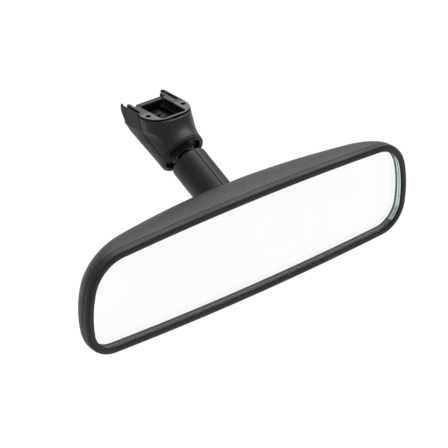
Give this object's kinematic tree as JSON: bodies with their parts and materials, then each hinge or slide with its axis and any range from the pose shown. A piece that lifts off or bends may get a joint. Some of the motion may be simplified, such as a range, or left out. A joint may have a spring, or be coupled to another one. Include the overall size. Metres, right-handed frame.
{
  "type": "interior rearview mirror",
  "caption": "Wide interior rearview mirror with a domed black housing, on a round arm with a ball joint at each end and a channel foot for a windscreen bracket.",
  "frame": {"origin": "on the foot's flat top face, midway between its two locating holes", "axes": "+X along the mirror's length, +Y away from the glass towards the windscreen, +Z out of the foot's top face"},
  "size_m": [0.2392, 0.1056, 0.0879],
  "materials": {
    "housing_plastic": "matt charcoal-black moulded plastic with a fine grain",
    "bezel_plastic": "matt black moulded plastic with a fine grain",
    "trim_plastic": "satin black moulded plastic",
    "arm_plastic": "satin black moulded plastic",
    "socket_plastic": "dark glass-filled plastic",
    "nylon": "natural nylon",
    "foot_metal": "dark-coated zinc casting",
    "black_spring_steel": "black phosphated steel",
    "plated_steel": "zinc-plated steel",
    "polished_steel": "polished steel",
    "tube_steel": "rolled steel",
    "spring_steel": "spring steel",
    "boot_rubber": "matt black rubber",
    "float_glass": "clear float glass with a pale green ground edge",
    "silver_coating": "silver mirror coating",
    "adhesive_foam": "closed-cell adhesive foam"
  },
  "bodies": {
    "foot": {"foot_casting": "foot_metal", "foot_cover": "trim_plastic", "foot_front_panel": "trim_plastic", "retaining_clip": "black_spring_steel", "clip_screw": "plated_steel", "foot_ball_stud": "polished_steel", "stud_washer": "plated_steel", "stud_nut": "plated_steel", "stud_boot": "boot_rubber", "cover_screws": "black_spring_steel"},
    "upper_liner": {"upper_ball_liner": "nylon"},
    "upper_socket": {"upper_cup_front": "socket_plastic", "upper_cup_rear": "socket_plastic"},
    "arm": {"arm_tube": "tube_steel", "arm_cover_left": "arm_plastic", "arm_cover_right": "arm_plastic", "arm_spring": "spring_steel", "upper_spring_seat": "plated_steel", "lower_spring_seat": "plated_steel"},
    "lower_socket": {"lower_cup_front": "socket_plastic", "lower_cup_rear": "socket_plastic"},
    "lower_liner": {"lower_ball_liner": "nylon"},
    "head": {"head_ball_stud": "polished_steel", "head_bracket": "plated_steel", "head_stud_nut": "plated_steel", "bracket_screws": "plated_steel", "rear_housing": "housing_plastic", "opening_ring": "socket_plastic", "bezel": "bezel_plastic", "bezel_clips": "bezel_plastic", "mirror_glass": "float_glass", "mirror_coating": "silver_coating", "foam_pad": "adhesive_foam", "glass_carrier": "socket_plastic"}
  },
  "joints": [
    {"name": "arm_pitch", "type": "hinge", "parent": "foot", "child": "upper_liner", "pos_m": [0, -0.0277, -0.0289], "axis": [1, 0, 0], "range_deg": [-12, 12]},
    {"name": "arm_swing", "type": "hinge", "parent": "upper_liner", "child": "upper_socket", "pos_m": [0, -0.0277, -0.0289], "axis": [0, -0.4446, 0.8957], "range_deg": [-12, 12]},
    {"name": "arm_twist", "type": "hinge", "parent": "upper_socket", "child": "arm", "pos_m": [0, -0.0277, -0.0289], "axis": [0, -0.8957, -0.4446], "range_deg": [-30, 30]},
    {"name": "head_roll", "type": "hinge", "parent": "arm", "child": "lower_socket", "pos_m": [0, -0.05851, -0.0442], "axis": [0, -0.8957, -0.4446], "range_deg": [-20, 20]},
    {"name": "head_pitch", "type": "hinge", "parent": "lower_socket", "child": "lower_liner", "pos_m": [0, -0.05851, -0.0442], "axis": [1, 0, 0], "range_deg": [-10, 10]},
    {"name": "head_yaw", "type": "hinge", "parent": "lower_liner", "child": "head", "pos_m": [0, -0.05851, -0.0442], "axis": [0, -0.4446, 0.8957], "range_deg": [-12, 12]}
  ]
}
